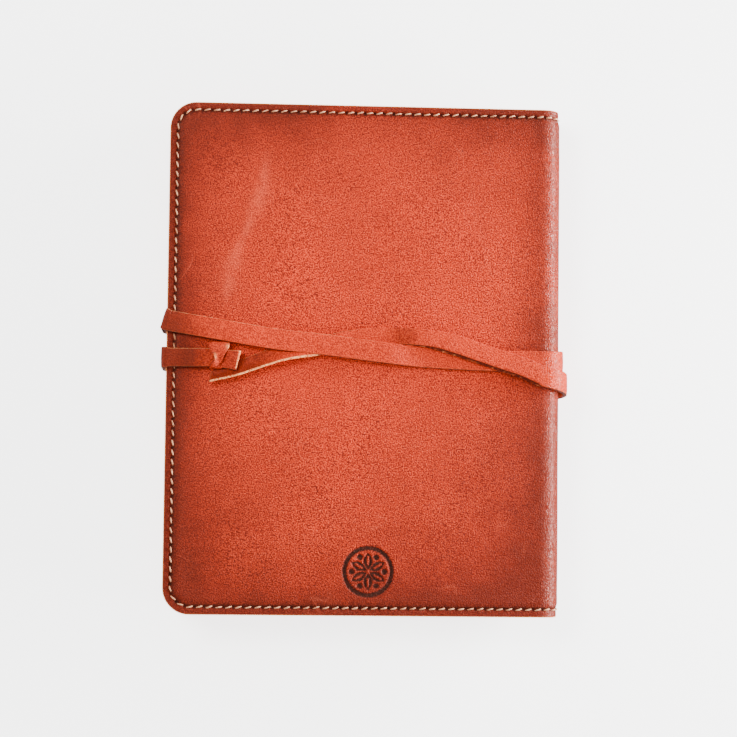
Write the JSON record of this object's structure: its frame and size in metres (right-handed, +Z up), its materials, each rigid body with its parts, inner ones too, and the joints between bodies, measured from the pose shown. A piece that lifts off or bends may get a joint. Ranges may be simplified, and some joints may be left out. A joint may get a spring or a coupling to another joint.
{
  "type": "leather notebook cover",
  "caption": "Refillable leather notebook cover with a rounded spine, sewn edge, inside sleeves, a paper refill and a flat wrap strap knotted at one end.",
  "frame": {"origin": "middle of the closed, strapped cover's box, at its base, where the strap rests on the table", "axes": "+X from the fore-edge to the spine, +Y from the tail to the head (the long side), +Z up out of the back cover"},
  "size_m": [0.1833, 0.229, 0.029],
  "materials": {
    "outer_leather": "pull-up leather, lightly waxed",
    "lining_leather": "natural veg-tan, matt",
    "sleeve_leather": "natural veg-tan, smooth",
    "strap_leather": "pull-up leather, lightly waxed, raw edges",
    "waxed_thread": "waxed linen thread",
    "card": "kraft card, matt",
    "paper": "uncoated cream paper",
    "binding_cloth": "woven book cloth"
  },
  "bodies": {
    "front_cover": {"outer_leather_front": "outer_leather", "lining_front": "lining_leather", "sleeve_front": "sleeve_leather", "needle_thread_front": "waxed_thread", "bobbin_thread_front": "waxed_thread", "card_cover_front": "card", "binding_tape_front": "binding_cloth", "paper_section_1": "paper", "paper_section_2": "paper", "paper_section_3": "paper"},
    "spine": {"outer_leather_spine": "outer_leather", "lining_spine": "lining_leather", "needle_thread_spine": "waxed_thread", "bobbin_thread_spine": "waxed_thread"},
    "back_cover": {"outer_leather_back": "outer_leather", "lining_back": "lining_leather", "sleeve_back": "sleeve_leather", "needle_thread_back": "waxed_thread", "bobbin_thread_back": "waxed_thread", "card_cover_back": "card"},
    "rear_leaves": {"paper_section_4": "paper", "paper_section_5": "paper", "paper_section_6": "paper", "binding_tape_back": "binding_cloth"},
    "strap": {"wrap_strap": "strap_leather"}
  },
  "joints": [
    {"name": "spine_fold", "type": "hinge", "parent": "front_cover", "child": "spine", "pos_m": [0.08514, 0, 0.00636], "axis": [0, 1, 0], "range_deg": [0, 90], "deforming": ["outer_leather_spine", "lining_spine", "needle_thread_spine", "bobbin_thread_spine", "wrap_strap"]},
    {"name": "cover_open", "type": "hinge", "parent": "spine", "child": "back_cover", "pos_m": [0.08514, 0, 0.02172], "axis": [0, 1, 0], "range_deg": [0, 90]},
    {"name": "leaves_turn", "type": "hinge", "parent": "front_cover", "child": "rear_leaves", "pos_m": [0.08275, 0, 0.01404], "axis": [0, 1, 0], "range_deg": [0, 180]},
    {"name": "strap_slide", "type": "slide", "parent": "front_cover", "child": "strap", "axis": [0, -1, 0], "range_m": [0, 0.14]}
  ],
  "couplings": [
    {"joint": "cover_open", "follows": "spine_fold", "ratio": 1},
    {"joint": "leaves_turn", "follows": "spine_fold", "ratio": 2}
  ]
}
